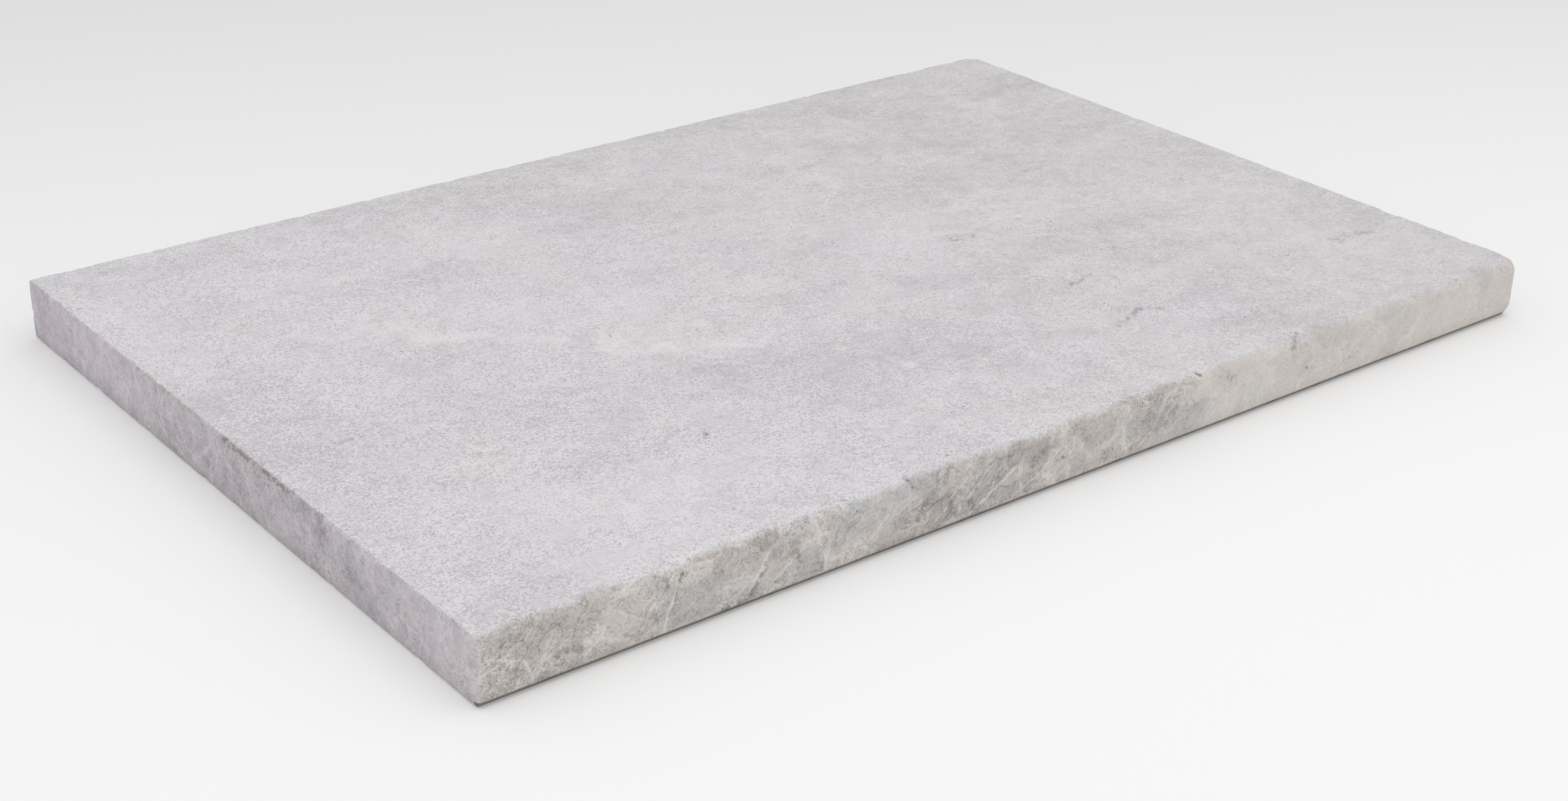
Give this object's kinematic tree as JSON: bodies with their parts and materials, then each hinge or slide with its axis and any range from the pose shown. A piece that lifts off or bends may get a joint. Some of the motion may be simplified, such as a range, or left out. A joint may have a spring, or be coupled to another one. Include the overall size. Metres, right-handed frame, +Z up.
{
  "type": "limestone pool coping",
  "caption": "Rectangular grey limestone coping slab with a pencil-rounded pool edge, a blasted walking face and sawn joint sides, bedded flat to cap a pool's rim.",
  "frame": {"origin": "middle of the sawn bed, on the surface that the stone lies on", "axes": "+X along the pool edge, the pool edge faces -Y, +Z up out of the walking face"},
  "size_m": [0.6, 0.4, 0.03],
  "materials": {
    "limestone": "fine blasted walking face, honed pool edge and sawn sides"
  },
  "bodies": {
    "root": {"coping_stone": "limestone"}
  },
  "joints": []
}
